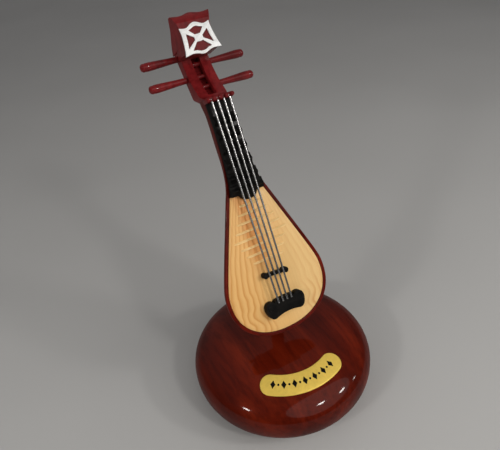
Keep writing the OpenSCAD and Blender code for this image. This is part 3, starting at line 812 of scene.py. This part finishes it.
# ---------------------------------------------------------------- fingerboard and its six peaked frets
finger_end = spline([(0, -4.1), (2.4, -3.8), (4.5, -2.7), (5.9, -0.6), (7.2, -0.05)], n=6)[:-1]
half = [(u, BOARD_LEN + v) for u, v in finger_end] + [(TOP_HW - 0.3, BOARD_LEN - 0.05)]
half += [(finger_hw(v), v) for v in steps(BOARD_LEN + 0.4, NUT_V, 40)] + [(0, NUT_V)]
verts, faces = prism(mirrored(half), 0.0, FINGER_T, front)
fb = make("black_fingerboard", verts, faces, M_BLACK, None, smooth=False)
bevel(fb, 0.35, 3, 55)
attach(fb, "pipa")
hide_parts("fingerboard")

verts, faces = [], []
for fret_v in NECK_FRETS:
    top = string_w(fret_v) - STRING_R - 0.25
    peak = [(-2.9, FINGER_T - 0.1), (-2.2, FINGER_T + 0.35), (-1.1, top - 1.6), (-0.45, top - 0.25), (0, top),
            (0.45, top - 0.22), (1.5, top - 1.7), (2.9, FINGER_T + 0.5), (3.6, FINGER_T - 0.1)]
    section = spline(peak, n=3)
    across = (-1, -0.985, -0.93, -0.5, 0, 0.5, 0.93, 0.985, 1)
    faces += loft_faces(len(across), len(section), len(verts))
    for f in across:
        for v, w in section:
            k = max(0, (w - FINGER_T) / (top - FINGER_T))
            drop = 0.12 * k if abs(f) == 1 else 0
            verts.append(on_board(f * (finger_hw(fret_v) + 0.12 - 0.5 * k), fret_v + v, w - drop))
make("peaked_neck_frets", verts, faces, M_BLACK, "pipa", ["neck_frets"], sharp=40)

# ---------------------------------------------------------------- nut with five beads
nut_outline = [(-NUT_HW, NUT_V), (NUT_HW, NUT_V), (NUT_HW, BOX_V), (-NUT_HW, BOX_V)]
verts, faces = prism(nut_outline, 0.0, NUT_TOP, front)
nut = make("beaded_nut", verts, faces, M_RED, None, smooth=False)
bevel(nut, 0.5, 3)
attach(nut, "pipa")
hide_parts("nut")


def bead(u, first):
    """A round bead on the nut, whose first point has the number first."""
    arc = [(BEAD_R * math.sin(t), BEAD_R * math.cos(t)) for t in steps(math.radians(2), math.radians(178), 20)]
    points, _ = turned(arc, lambda x, y, h: on_board(u + x, NUT_V + 1.4 + y, BEAD_W + h), 28)
    return points, loft_faces(len(arc), 28, first)


verts, faces = [], []
for i in range(-2, 3):
    bead_verts, bead_faces = bead(i * STRING_GAP, len(verts))
    verts += bead_verts
    faces += bead_faces
make("nut_beads", verts, faces, M_RED, "pipa")


# ---------------------------------------------------------------- strings, finely wound
def wound_string(a, b, n=14):
    """A string from a to b with the slight waves of its winding."""
    along = (b - a).normalized()
    across = along.cross(Vector((1, 0, 0))).normalized()
    third = along.cross(across)
    length = (b - a).length
    rows = int(length / (0.30 * MM))
    verts = []
    for row in range(rows + 1):
        s = length * row / rows
        for j in range(n):
            t = 2 * math.pi * j / n
            wave = WINDING_DEPTH * math.cos(t - 2 * math.pi * s / (WINDING_PITCH * MM))
            r = (STRING_R - WINDING_DEPTH + wave) * MM
            if row in (0, rows):
                r *= 0.7
            verts.append(a + along * s + (across * math.cos(t) + third * math.sin(t)) * r)
    return verts, loft_faces(rows + 1, n)


for i in range(4):
    u, v_top = (i - 1.5) * STRING_GAP, NUT_V + 0.4
    upper = on_board(u, v_top, string_w(v_top))
    lower = on_board(u * 0.8, STRING_TAIL_V, STRING_TAIL)
    verts, faces = wound_string(upper, lower)
    make("wound_string_%d" % (i + 1), verts, faces, M_STRING, "pipa", ["string_%d" % (i + 1)])

# ---------------------------------------------------------------- pegbox
front_edge = spline([(BOX_V, 1.9), (147, -1), (150.5, -3.8), (155.5, -6.8), (162, -9.4), (168, -11),
                     (HEAD_V, -11)], corners=(5,), n=6)
back_edge = spline([(BOX_V, -11.5), (150.5, -14.2), (157.8, -16.8), (167.2, -18.9), (HEAD_V, -20.85)], n=6)


def along_line(line, v):
    """The height w of a line through (v, w) points at v."""
    for (v0, w0), (v1, w1) in zip(line, line[1:]):
        if v <= v1 + 1e-9:
            return w0 + (w1 - w0) * (v - v0) / (v1 - v0)
    return line[-1][1]


def box_row(v):
    """A section across the pegbox: round like the neck at its foot, square with soft corners above."""
    wf = along_line(front_edge, v)
    wb = along_line(back_edge, v) - NECK_SWELL * (1 - ease((v - BOX_V) / 12))
    neck_hw, neck_top = body_hw(BOX_V), min(0.0, wf - 0.3)
    like_neck = [(neck_hw, wf), (neck_hw, neck_top)]
    for q in steps(math.radians(85), math.radians(3), 12):
        u = neck_hw * math.sin(q) ** (BOWL_SIDE - NECK_SQUARE)
        like_neck.append((u, neck_top + (wb - neck_top) * math.cos(q) ** (BOWL_BACK - NECK_SQUARE)))
    r = 1.6
    square = [(BOX_HW, wf), (BOX_HW, wb + r)]
    for q in steps(math.radians(85), 0, 9):
        square.append((BOX_HW - r + r * math.sin(q), wb + r - r * math.cos(q)))
    square += [(BOX_HW * 0.6, wb), (BOX_HW * 0.3, wb), (0.3, wb)]
    k = ease((v - BOX_V + 1) / 4)
    half = [((1 - k) * a[0] + k * b[0], (1 - k) * a[1] + k * b[1]) for a, b in zip(like_neck, square)]
    return half + [(-x, w) for x, w in reversed(half)]


vs = steps(BOX_V, 156, 22) + steps(156, HEAD_V, 26)[1:]
rows = [box_row(v) for v in vs]
verts = [on_board(u, v, w) for v, row in zip(vs, rows) for u, w in row]
box = make("pegbox_cheeks", verts, loft_faces(len(rows), len(rows[0])), M_RED, None, smooth=False)
slot_floor = spline([(147.4, -4.5), (150, -8.6), (157, -13.4), (167, -15.9), (174.6, -17.4)], n=5)
slot = [(w, v) for v, w in slot_floor] + [(-6, 174.6), (6, 172), (6, 147.4)]
verts, faces = prism(slot, -SLOT_HW, SLOT_HW, side)
cut(box, make("slot_tool", verts, faces, M_RED, None, smooth=False))
for peg_v, peg_w, s, _ in PEGS.values():
    bore = [(BORE_R, -s * BORE_END), (BORE_R, s * (BOX_HW + 2))]
    if s < 0:
        bore.reverse()
    verts, faces = turned(bore, lambda x, y, h: on_board(h, peg_v + x, peg_w + y), 24)
    cut(box, make("bore_tool", verts, faces, M_RED, None, smooth=False))
bevel(box, 0.7, 4)
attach(box, "pipa")
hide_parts("pegbox")

# ---------------------------------------------------------------- head finial
half = spline([(0, 170.4), (10.2, 171.0), (9.7, 173.4), (9.1, 178.2), (9.3, 184.4), (10.2, 188), (11.8, 192.1),
               (9, 191.6), (6.4, 191.4), (4.2, 191.7), (1.4, 192.6), (0, 192.8)], corners=(0, 1, 6), n=6)
verts, faces = prism(mirrored(half), -30, 10, front)
head = make("head_block", verts, faces, M_RED, None, smooth=False)
# seen from the side: the face, then over the crest and down the back
crest = spline([(HEAD_FACE, 187.5), (3.8, 189.8), (2.6, 191.6), (1.2, 192.85), (-1.5, 191.55), (-4, 190.25),
                (-6.5, 188.8), (-9, 187.3), (-12, 185.8), (-15, 183.8), (-17.5, 181.55), (-19.2, 179.35),
                (-20.2, 177.3), (-20.85, HEAD_V)], corners=(3,), n=4)
verts, faces = prism([(HEAD_FACE, 169)] + crest + [(-11, HEAD_V), (-11, 169)], -13, 13, side)
cut(head, make("head_tool", verts, faces, M_RED, None, smooth=False), "INTERSECT")
bevel(head, 0.5, 3)
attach(head, "pipa")
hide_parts("head_finial")


# ---------------------------------------------------------------- the openwork plate on the head
def on_plate(a, b, h):
    """A point of the plate, which is fixed a little askew."""
    u, v = polar(a, b - PLATE_V, PLATE_TURN)
    return on_board(u, PLATE_SEAT + v, h)


edge = spline([(0, 168.55), (1.5, 168.75), (3.1, 169.4), (6.3, 170.1), (9.2, 169.8), (11.35, 169.5),
               (10.55, 171.7), (9.95, 174.2), (9.2, 179.1), (9.0, 182), (9.1, 184.8), (7, 184.15),
               (5.1, 184.05), (3.6, 184.7), (1.9, 185.6), (0, 186.1)], corners=(5, 10), n=4)
verts, faces = prism(mirrored(edge), HEAD_FACE, HEAD_FACE + PLATE_T, on_plate)
plate = make("openwork_plate", verts, faces, M_SILVER, None, smooth=False)
side_window = [(2.5, 176.8), (7.9, 173.0), (7.1, 176.5), (6.75, 179.2), (6.5, 181.1), (2.5, 178.2)]
windows = [mirrored([(0, 179.5), (1.7, 179.6), (4.4, 182.5), (2.4, 183.1), (0.8, 183.8), (0, 183.9)]),
           mirrored([(0, 170.3), (1.5, 170.4), (3.6, 171.3), (5.9, 171.6), (1.9, 175.6), (0, 175.4)]),
           [(-x, y) for x, y in side_window], side_window]
for window in windows:
    verts, faces = prism(window, 4, 6, on_plate)
    cut(plate, make("window_tool", verts, faces, M_SILVER, None, smooth=False))
bevel(plate, 0.16, 2, 40)
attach(plate, "pipa")
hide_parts("head_plate")

# ---------------------------------------------------------------- pegs
# (radius, distance from the pegbox's middle): the shaft, its shoulder, the grip and the button
peg_shape = [(0.2, -4.1), (1.3, -4.1), (1.35, -3.9), (1.35, BOX_HW + 0.25), (1.6, BOX_HW + 0.3),
             (1.75, BOX_HW + 0.45), (1.78, BOX_HW + 2), (1.9, 14.5), (2.12, 19), (2.32, 23), (2.46, 26),
             (2.5, 28), (2.42, 29.2), (2.30, 29.55), (2.36, 29.9), (2.40, 30.3), (2.22, 31.1), (1.75, 31.75),
             (1.1, 32.1), (0.2, 32.2)]
peg_shape = spline(peg_shape, corners=(0, 1, 2, 3, 4), n=3)
for tag, (peg_v, peg_w, s, body) in PEGS.items():
    profile = peg_shape if s > 0 else [(r, -h) for r, h in reversed(peg_shape)]
    verts, faces = turned(profile, lambda x, y, h: on_board(h, peg_v + x, peg_w + y), 40)
    make("tuning_peg_" + tag, verts, faces, M_RED, body, ["peg_" + tag], sharp=50)

# ---------------------------------------------------------------- CAD pieces that stay as they are
CARRIED = {M_PLATE: ("bottom_plate",), M_PAD: ("base_pad",),
           M_STEEL: ("bottom_screws", "standoffs", "comb", "winding_arbor"),
           M_BRASS: ("top_bush", "bedplate", "bearing_blocks", "comb_screws", "spring_barrel", "pin_cylinder",
                     "governor_fly", "winding_key", "turntable_wheel")}
for mat, names in CARRIED.items():
    for name in names:
        obj = frame["nodes"][name]
        obj.data.materials.clear()
        obj.data.materials.append(mat)

for obj in list(bpy.data.objects):
    if obj.type != "MESH" or obj.name in frame["nodes"] or not obj.data.materials:
        continue

# ---------------------------------------------------------------- floor
FLOOR_HALF, FLOOR_Z = 3, -0.0002
floor_mat, tree, bsdf = new_material("pale_floor", Roughness=0.6)
clouds = noise(tree, mapped(tree, (3, 3, 3)), 1.0, 2)
pale = ramp(tree, clouds, [(0.3, (0.47, 0.47, 0.465)), (0.7, (0.51, 0.51, 0.505))])
tree.links.new(pale, bsdf.inputs["Base Color"])
mesh = bpy.data.meshes.new("floor")
corners = [(x * FLOOR_HALF, y * FLOOR_HALF, FLOOR_Z) for x, y in ((-1, -1), (1, -1), (1, 1), (-1, 1))]
mesh.from_pydata(corners, [], [[0, 1, 2, 3]])
floor = bpy.data.objects.new("floor", mesh)
bpy.context.scene.collection.objects.link(floor)
floor.data.materials.append(floor_mat)

# ---------------------------------------------------------------- soft light
# the surroundings are dim in front and brighter above and behind
bpy.context.scene.view_settings.view_transform = "Standard"
world = bpy.data.worlds.new("studio")
bpy.context.scene.world = world
world.use_nodes = True
tree = world.node_tree
bg = next(n for n in tree.nodes if n.type == "BACKGROUND")
bg.inputs["Strength"].default_value = 1.0
dot = node(tree, "ShaderNodeVectorMath", operation="DOT_PRODUCT")
tree.links.new(node(tree, "ShaderNodeTexCoord").outputs["Generated"], dot.inputs[0])
dot.inputs[1].default_value = (0.08, 0.72, 0.69)
sky = ramp(tree, dot.outputs["Value"],
           [(0.0, (0.035, 0.035, 0.036)), (0.45, (0.12, 0.118, 0.118)), (0.9, (0.30, 0.294, 0.292))])
tree.links.new(sky, bg.inputs["Color"])


def softbox(name, direction, distance, size, power):
    """An oval soft light that looks at the object from the given direction."""
    aim = Vector((0, 0, 0.09))
    data = bpy.data.lights.new(name, "AREA")
    data.shape = "ELLIPSE"
    data.size, data.size_y = size
    data.energy = power
    data.color = (1, 0.97, 0.93)
    obj = bpy.data.objects.new(name, data)
    obj.location = aim + Vector(direction).normalized() * distance
    obj.rotation_euler = (-Vector(direction)).to_track_quat("-Z", "Y").to_euler()
    bpy.context.scene.collection.objects.link(obj)
    return obj


# from each direction a wide soft light and a small bright one in front of it, sizes in metres, powers in watts
for name, direction, wide, power, core, core_power in (
        ("left", (-0.833, -0.23, 0.503), (0.80, 0.56), 1.35, (0.12, 0.06), 1.3),
        ("front", (0.214, -0.735, 0.643), (1.30, 0.90), 2.7, (0.12, 0.06), 1.2),
        ("front_right", (0.588, -0.642, 0.492), (0.80, 0.56), 1.0, (0.12, 0.06), 1.1),
        ("right", (0.815, -0.494, 0.303), (0.30, 0.20), 0.2, (0.06, 0.03), 0.2)):
    fill = softbox(name + "_wide", direction, 0.92, wide, power)
    fill.visible_glossy = name == "front"
    softbox(name + "_core", direction, 0.90, core, core_power)

# ---------------------------------------------------------------- camera
CAM_AZ, CAM_EL, CAM_ROLL = (math.radians(a) for a in (-25.81, 36.55, -6.06))
CAM_DISTANCE = 0.3601
CAM_TARGET = Vector((0.01891, 0.06754, 0.08103))
back = Vector((math.sin(CAM_AZ) * math.cos(CAM_EL), -math.cos(CAM_AZ) * math.cos(CAM_EL), math.sin(CAM_EL)))
level = Vector((math.cos(CAM_AZ), math.sin(CAM_AZ), 0))
upright = back.cross(level)
right = math.cos(CAM_ROLL) * level + math.sin(CAM_ROLL) * upright
up = -math.sin(CAM_ROLL) * level + math.cos(CAM_ROLL) * upright
placed = Matrix((right, up, back)).transposed().to_4x4()
placed.translation = CAM_TARGET + back * CAM_DISTANCE
cam_data = bpy.data.cameras.new("camera")
cam_data.sensor_width = 36
cam_data.lens = 35.43
cam_data.clip_start = 0.01
cam = bpy.data.objects.new("camera", cam_data)
cam.matrix_world = placed
bpy.context.scene.collection.objects.link(cam)
bpy.context.scene.camera = cam
